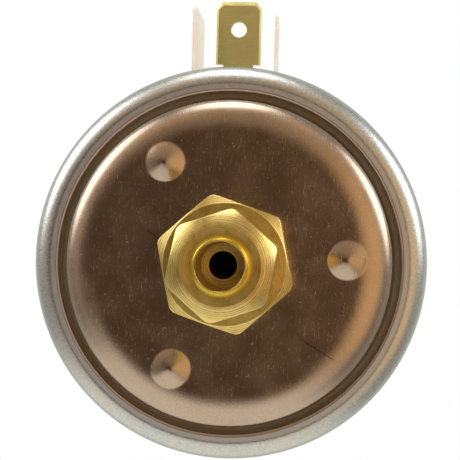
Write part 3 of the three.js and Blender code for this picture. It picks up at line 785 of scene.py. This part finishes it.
def diaphragm():
    bottom, top = low("diaphragm"), high("diaphragm")
    fold_inner, fold_outer, rise = 14.4, 18.2, 1.5
    thick = 0.8
    base = bottom[2]
    share = np.linspace(0, 1, 18)
    under = [(fold_inner + (fold_outer - fold_inner) * t, base + rise * math.sin(math.pi * t) ** 2)
             for t in share]
    over = [(r, z + thick) for r, z in under[::-1]]
    edge = top[0] - 0.02
    return turned("diaphragm", [
        (0, base), *under, (edge, base, 0.2), (edge, base + thick, 0.2), *over, (0, base + thick),
    ], 160)


stand_in(pressure_cap(), "pressure_cap")
stand_in(crimp_ring(), "crimp_ring")
stand_in(diaphragm(), "diaphragm")


# ------------------------------------------------------------------ piston and springs

def middle_of(node):
    return (low(node) + high(node)) / 2


def piston_disc():
    bottom, top = low("piston_disc"), high("piston_disc")
    plate = high("push_pin_left")[2] + 0.05
    hub = 4.9
    return turned("piston", [
        (0, bottom[2]), (hub, bottom[2], 0.2), (hub, plate, 0.15), (top[0], plate, 0.2),
        (top[0], top[2], 0.4), (0, top[2]),
    ], 160)


def push_pin(node):
    tip, head = low(node), high(node)
    radius = (head[0] - tip[0]) / 2
    return turned("pin", [
        (0, tip[2]), (radius * 0.6, tip[2] + 0.12, 0.3), (radius, tip[2] + 0.75, 0.3),
        (radius, head[2], 0.1), (0, head[2]),
    ], 48, middle_of(node)[:2])


def coil(node, wire, turns, share):
    """The stretch of a compression spring between two shares of its turns, its ends closed."""
    bottom, top = low(node), high(node)
    radius = (top[0] - bottom[0]) / 2 - wire
    seat = [bottom[2] + wire, bottom[2] + 3.1 * wire, top[2] - 3.1 * wire, top[2] - wire]
    count = np.linspace(share[0] * turns, share[1] * turns, round(turns * 26))
    centre_z = np.interp(count, [0, 1, turns - 1, turns], seat)
    x, y = middle_of(node)[:2]
    loops = []
    for angle, z in zip(count * TURN, centre_z):
        around = angles(14)
        reach = radius + wire * np.cos(around)
        loops.append(np.stack([
            x + reach * math.cos(angle), y + reach * math.sin(angle), z + wire * np.sin(around),
        ], axis=1))
    return loft(node, loops)


def sprung(node, wire, turns, rear_body, front_body):
    """A spring between two bodies, as a coil in its node's box. One whose ends both move is made in two
    halves that meet in the middle; neither half is attached to a body."""
    bottom, top = (Vector(corner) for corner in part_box(node))
    centre = (bottom + top) / 2
    start, end = Vector((centre.x, centre.y, bottom.z)), Vector((centre.x, centre.y, top.z))
    pairs = [(rear_body, "body", start, centre, (0, 0.5)), ("body", front_body, centre, end, (0.5, 1))]
    if rear_body == "body":
        pairs = [("body", front_body, start, end, (0, 1))]
    for index, (a, b, near, far, share) in enumerate(pairs):
        part = dress(coil(node, wire, turns, share), node)
        part.name = f"{node}_fine_{index}"
        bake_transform(part)
        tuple(near)
        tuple(far)


def spring_nut():
    bottom, top = low("spring_nut"), high("spring_nut")
    nut = plank("nut_plate", bottom, top)
    hole = turned("hole", [
        (0, bottom[2] - 1), (3.5, bottom[2] - 1), (3.5, bottom[2]), (3.05, bottom[2] + 0.45),
        (3.05, top[2] - 0.45), (3.5, top[2]), (3.5, top[2] + 1), (0, top[2] + 1),
    ])
    return softened(cut(nut, hole), 0.25)


stand_in(piston_disc(), "piston_disc")
for side in ("left", "right"):
    stand_in(push_pin("push_pin_" + side), "push_pin_" + side)
stand_in(spring_nut(), "spring_nut")


# ------------------------------------------------------------------ housing and cover

COVER_FRONT = low("cover_gasket")[2] - 0.05
DRUM = high("rear_cover")[0]
SCREWS = ["cover_screw_1", "cover_screw_2", "cover_screw_3"]

# the window in the drum for the terminal block's body
WINDOW_HALF = 14.7
WINDOW_INNER = 14.3
WINDOW_REAR = -33.6
WINDOW_PAST = 30  # anywhere beyond the drum's wall


def drill(radius, low_z, high_z, at=(0, 0), lead=0.0, segments=SMALL):
    """A tool for a round hole whose lower mouth opens out by the lead."""
    return turned("drill", [
        (0, low_z - 1), (radius + lead, low_z - 1), (radius + lead, low_z), (radius, low_z + lead),
        (radius, high_z), (0, high_z),
    ], segments, at)


def switch_housing():
    front, rear = high("switch_housing")[2], low("switch_housing")[2]
    flange, flange_rear = high("switch_housing")[0], front - 3
    inner, chamber, spring_hole = DRUM - 2, 18.5, 6.8
    web_front, web_rear = flange_rear - 0.2, flange_rear - 1.2
    rib = 0.05
    housing = turned("housing", [
        (inner, rear, 0.12), (DRUM, rear, 0.18), (DRUM, rear + 3.2), (DRUM + rib, rear + 3.25),
        (DRUM + rib, rear + 3.5), (DRUM, rear + 3.55), (DRUM, flange_rear, 0.3),
        (flange, flange_rear, 0.15), (flange, front, 0.15), (chamber, front, 0.15),
        (chamber, web_front, 0.3), (spring_hole, web_front, 0.1), (spring_hole, web_rear, 0.1),
        (inner, web_rear, 0.3),
    ], AROUND)
    for node in SCREWS:
        at = middle_of(node)[:2]
        front_z = low(node)[2] + 12.8
        boss = turned("boss", [(0, rear), (2.5, rear, 0.1), (2.5, front_z, 0.2), (0, front_z)], 48, at)
        housing = cut(join(housing, boss), drill(1.4, rear - 1, front_z + 1, at, 0, 48))
    for side in ("left", "right"):
        at = middle_of("push_pin_" + side)[:2]
        housing = cut(housing, drill(1.0, web_rear - 0.5, web_front + 0.5, at, 0, 48))
    half = WINDOW_HALF + GAP
    corner = (-half, WINDOW_INNER - GAP, WINDOW_REAR - GAP)
    opposite = (half, WINDOW_PAST, high("terminal_block")[2] + GAP)
    return softened(cut(housing, plank("window", corner, opposite)), 0.12)


def cover_gasket():
    bottom, top = low("cover_gasket"), high("cover_gasket")
    return turned("gasket", [
        (DRUM - 1.95, bottom[2], 0.08), (top[0], bottom[2], 0.08), (top[0], top[2], 0.08),
        (DRUM - 1.95, top[2], 0.08),
    ], AROUND)


def rear_cover():
    back = low("rear_cover")[2]
    floor, guide_top = back + 2.2, high("rear_cover")[2]
    chamfer, recess, journal = 1.0, 5.5, 2.55
    cover = turned("cover", [
        (journal, COVER_FRONT, 0.1), (journal, floor, 0.12), (recess, floor, 0.3),
        (recess, back, 0.35), (7.4, back, 0.08), (7.55, back + 0.18, 0.08), (7.95, back + 0.18, 0.08),
        (8.1, back, 0.08), (12.6, back, 0.08), (12.75, back + 0.12, 0.06),
        (12.9, back + 0.12, 0.06), (13.05, back, 0.08), (DRUM - chamfer, back, 0.35),
        (DRUM, back + chamfer, 0.35), (DRUM, COVER_FRONT, 0.15),
    ], AROUND)
    for node in SCREWS:
        at = middle_of(node)[:2]
        cover = cut(cover, drill(3.0, back, back + 2, at, 0.25), drill(1.5, back, COVER_FRONT + 1, at))
    inner = high("spring_nut")[0] + 0.2
    outer = inner + 1.3
    guide = plank("guide", (-outer, -outer, COVER_FRONT - 0.5), (outer, outer, guide_top))
    guide = cut(guide, plank("well", (-inner, -inner, COVER_FRONT), (inner, inner, guide_top + 1)))
    guide = cut(guide, drill(5.6, COVER_FRONT - 2, COVER_FRONT + 0.5))
    return join(cover, softened(guide, 0.2))


def cover_screw(node):
    rear = low(node)[2]
    seat, tip = rear + 1.75, high(node)[2]
    at = middle_of(node)[:2]
    screw = turned("screw", [
        (0, rear), (1.9, rear + 0.02, 0.3), (2.7, rear + 0.7, 0.3), (2.7, seat, 0.1),
        (1.3, seat, 0.1), (1.3, seat + 0.5), *thread(SMALL, seat + 0.6, tip - 1.2, 1.3, 0.22, 0.8),
        (0, tip),
    ], SMALL, at)
    x, y = at
    for wide, long in ((0.36, 1.6), (1.6, 0.36)):
        loops = []
        for z, share in ((rear - 0.5, 1.0), (rear + 0.1, 1.0), (rear + 0.9, 0.78)):
            dx, dy = (w * (share if w > 1 else 0.85 + 0.15 * share) for w in (wide, long))
            corners = [(-dx, -dy), (dx, -dy), (dx, dy), (-dx, dy)]
            loops.append(np.array([(x + u, y + v, z) for u, v in corners]))
        screw = cut(screw, loft("recess", loops))
    return screw


def adjusting_screw():
    rear, tip = low("adjusting_screw")[2], high("adjusting_screw")[2]
    groove_rear, groove_front = low("screw_clip")[2] - 0.05, high("screw_clip")[2] + 0.05
    collar = COVER_FRONT + 0.1
    journal, groove = 2.45, 2.05
    screw = turned("adjuster", [
        (0, rear), (journal, rear, 0.35), (journal, groove_rear, 0.05), (groove, groove_rear),
        (groove, groove_front), (journal, groove_front, 0.05), (journal, collar, 0.1),
        (4.8, collar, 0.2), (4.8, collar + 1.8, 0.2), (2.6, collar + 1.8, 0.1),
        *thread(SMALL, collar + 2.2, tip - 0.7, 2.95, 0.35, 1.0), (2.2, tip, 0.1), (0, tip),
    ])
    return cut(screw, plank("slot", (-5, -0.5, rear - 1), (5, 0.5, rear + 1.1)))


def screw_clip():
    bottom, top = low("screw_clip"), high("screw_clip")
    outer = -bottom[0]
    clip = turned("clip", [
        (2.15, bottom[2], 0.06), (outer, bottom[2], 0.06), (outer, top[2], 0.06), (2.15, top[2], 0.06),
    ])
    clip = cut(clip, plank("mouth", (0, -1.5, bottom[2] - 1), (6, 1.5, top[2] + 1)))
    for degrees in (120, 240):
        at = [2.5 * f(math.radians(degrees)) for f in (math.cos, math.sin)]
        clip = cut(clip, drill(0.7, bottom[2] - 0.5, top[2] + 0.5, at, 0, 48))
    return clip


stand_in(switch_housing(), "switch_housing")
stand_in(cover_gasket(), "cover_gasket")
stand_in(rear_cover(), "rear_cover")
for node in SCREWS:
    stand_in(cover_screw(node), node)
stand_in(adjusting_screw(), "adjusting_screw")
stand_in(screw_clip(), "screw_clip")


# ------------------------------------------------------------------ terminals and contacts

# Each barrier fin: where it stands in X, how far its top is below the block's highest point,
# then its front edge and that corner's radius, and its rear edge and that corner's radius.
LEFT_FIN = (-6.35, 0.0, -29.0, 1.0, -45.5, 2.4)
RIGHT_FIN = (5.15, 0.6, -32.7, 0.5, -40.3, 1.2)


def fin_corner(x, top, z, radius, towards):
    """A tool that rounds one outer corner of a barrier fin; towards is -1 for its rear corner."""
    sweep = np.linspace(0, math.pi / 2, 12)
    outline = [
        (top - radius + radius * math.sin(a), z - towards * radius * (1 - math.cos(a))) for a in sweep
    ]
    outline += [(top + 1, z - towards * radius), (top + 1, z + towards), (top - radius, z + towards)]
    return loft("corner", [np.array([(x + dx, y, z) for y, z in outline]) for dx in (-1, 1)])


def terminal_block():
    block = copy_of("terminal_block")
    top = high("terminal_block")[1]
    for x, lower, front, front_radius, rear, rear_radius in (LEFT_FIN, RIGHT_FIN):
        block = cut(block, fin_corner(x, top - lower, rear, rear_radius, -1))
        block = cut(block, fin_corner(x, top - lower, front, front_radius, 1))
    return softened(block, 0.1)


def coined_tab():
    """The straight push-on tab: bevelled sides and tip on both faces, and a countersunk hole."""
    rear, front = high("terminal_common")[2] - 0.8, high("terminal_common")[2]
    tip, shoulder, neck, half = high("terminal_common")[1], 27.7, 2.1, 3.15
    tip_half, tip_drop = 2.33, 1.0

    def outline(z, side, end):
        right = [
            (neck, 14.0), (neck, shoulder),
            (half - side, shoulder), (half - side, tip - tip_drop - 0.3 * end),
            (tip_half - 0.45 * side, tip - end),
        ]
        points = right + [(-x, y) for x, y in right[::-1]]
        return np.array([(x, y, z) for x, y in points])

    tab = loft("tab", [
        outline(rear, 0.25, 0.5), outline(rear + 0.25, 0, 0), outline(front - 0.27, 0, 0),
        outline(front, 0.28, 0.6),
    ])
    at, hole = (0, tip - 3.95), 1.07
    flare = turned("flare", [
        (0, front - 0.1), (hole, front - 0.1), (hole + 0.14, front + 0.04), (0, front + 0.04),
    ], SMALL, at)
    return softened(cut(tab, drill(hole, rear - 1, front + 1, at), flare), 0.03, 15, 2, 14)


def terminal_common():
    yoke = cut(copy_of("terminal_common"), plank("cutter", (-4, 14.2, -32), (4, 40, -27)))
    return join(softened(yoke, 0.1), coined_tab())


def rivet(node):
    """A contact rivet: every head of the CAD piece, domed."""
    bottom, top = low(node)[2], high(node)[2]
    at = middle_of(node)[:2]
    rim, shank = 1.6, 0.7
    if node == "moving_contact":
        near = 0.7
        levels = [
            (0, bottom), (rim, bottom + 0.1, 0.3), (rim, bottom + near, 0.05), (shank, bottom + near),
            (shank, top - near), (rim, top - near, 0.05), (rim, top - 0.1, 0.3), (0, top),
        ]
    elif node == "fixed_contact_nc":
        levels = [
            (0, bottom), (rim, bottom + 0.1, 0.3), (rim, bottom + 0.75, 0.05),
            (shank, bottom + 0.75), (shank, top, 0.1), (0, top),
        ]
    else:
        levels = [
            (0, bottom), (shank, bottom, 0.1), (shank, top - 0.75), (rim, top - 0.75, 0.05),
            (rim, top - 0.1, 0.3), (0, top),
        ]
    return turned("rivet", levels, 64, at)


stand_in(terminal_block(), "terminal_block")
stand_in(terminal_common(), "terminal_common")
for node in ("terminal_nc", "terminal_no", "contact_blade", "pivot_pin"):
    stand_in(softened(copy_of(node), 0.07), node)
for node in ("moving_contact", "fixed_contact_nc", "fixed_contact_no"):
    stand_in(rivet(node), node)
sprung("range_spring", 0.65, 5.5, "spring_seat", "piston")
sprung("blade_spring", 0.17, 7, "body", "blade")


# ------------------------------------------------------------------ floor, lights and world

def studio():
    """A pale floor, of which only the near part shows in reflections, and a soft overhead light."""
    floor_z = cad_box[0].z
    near, far = 0.085, 1.6
    surface = bpy.data.materials.new("floor")
    surface.use_nodes = True
    tree = surface.node_tree
    tree.nodes.clear()
    g = Graph(tree)
    glow = g.mix(g.new("LightPath", out="Is Glossy Ray"), rgb(1.0, 1.0, 1.0), rgb(0.56, 0.55, 0.47))
    shader = g.new("Emission", {"Color": glow, "Strength": 1.0})
    output = tree.nodes.new("ShaderNodeOutputMaterial")
    tree.links.new(shader, output.inputs["Surface"])
    for name, inner, outer in (("floor_near", 0.0, near), ("floor_far", near, far)):
        rows = np.zeros((2, SMALL, 3))
        for row, radius in zip(rows, (inner, outer)):
            row[:, 0] = radius * np.cos(angles(SMALL)) / MM
            row[:, 1] = radius * np.sin(angles(SMALL)) / MM
            row[:, 2] = floor_z / MM
        disc = grid(name, rows, False)
        disc.data.materials.append(surface)
        disc.visible_glossy = name == "floor_near"
    lamp = bpy.data.lights.new("overhead", "AREA")
    lamp.shape = "DISK"
    lamp.size = 0.5
    lamp.energy = 1.6
    lamp.color = (1.0, 0.98, 0.95)
    overhead = bpy.data.objects.new("overhead", lamp)
    overhead.location = (0.05, 0.1, 0.6)
    overhead.visible_camera = False
    overhead.visible_glossy = False
    bpy.context.scene.collection.objects.link(overhead)


def sky():
    """Dark brown straight above the port, a pale card on the -Y side, three soft lights low on
    the +Y side and a warm glow on the right; plain and pale where the camera sees it."""
    world = bpy.data.worlds.new("studio")
    bpy.context.scene.world = world
    world.use_nodes = True
    tree = world.node_tree
    g = Graph(tree)
    ray = g.new("TexCoord", out="Generated")
    x, y, z = (g.new("SeparateXYZ", {0: ray}, out=i) for i in range(3))
    azimuth = g.calc("ARCTAN2", y, x)
    lift = g.calc("ARCSINE", z)

    def lobe(at, up, wide, tall, soft=0.5):
        """A soft oval light: its azimuth, elevation, half width and half height in degrees."""
        off = g.new("Math", {0: g.sum(azimuth, -math.radians(at)), 1: math.pi, 2: -math.pi},
                    operation="WRAP")
        u = g.times(off, 1 / math.radians(wide))
        v = g.times(g.sum(lift, -math.radians(up)), 1 / math.radians(tall))
        away = g.calc("SQRT", g.sum(g.times(u, u), g.times(v, v)))
        return g.step(away, 1 + soft, 1 - soft)

    def window(at, wide, bottom, top, soft):
        """A soft-edged panel between two elevations."""
        off = g.new("Math", {0: g.sum(azimuth, -math.radians(at)), 1: math.pi, 2: -math.pi},
                    operation="WRAP")
        side = g.step(g.calc("ABSOLUTE", off), math.radians(wide + soft), math.radians(wide - soft))
        above = g.step(lift, math.radians(bottom - soft), math.radians(bottom + soft))
        under = g.step(lift, math.radians(top + soft), math.radians(top - soft))
        return g.times(side, g.times(above, under))

    colour = g.mix(g.step(z, 0.95, 0.5), rgb(0.080, 0.050, 0.031), rgb(0.25, 0.21, 0.185))
    colour = g.mix(g.step(z, 0.3, -0.05), colour, rgb(0.33, 0.32, 0.28))
    colour = g.mix(g.times(lobe(100, 28, 75, 18, 0.6), 0.75), colour, rgb(0.75, 0.55, 0.36))
    colour = g.mix(g.times(lobe(90, 50, 45, 20, 0.7), 0.8), colour, rgb(0.40, 0.29, 0.19))
    colour = g.mix(g.times(lobe(-2, 54, 52, 25, 0.6), 0.9), colour, rgb(0.88, 0.58, 0.30))
    colour = g.mix(window(-102, 46, -60, 62, 13), colour, rgb(0.84, 0.79, 0.68))
    for at, wide in ((148, 22), (93, 15), (25, 19)):
        share = lobe(at, 4, wide, 19, 0.45)
        colour = g.mix(share, colour, rgb(2.9, 2.9, 2.8))
    seen = g.new("LightPath", out="Is Camera Ray")
    colour = g.mix(seen, colour, rgb(0.96, 0.96, 0.96))
    g.put(tree.nodes["Background"].inputs["Color"], colour)
    bpy.context.scene.view_settings.view_transform = "Standard"


studio()
sky()

for name, node in frame["nodes"].items():
    node.data.materials.clear()
    node.data.materials.append(FINISH[SLOT_OF[name]])
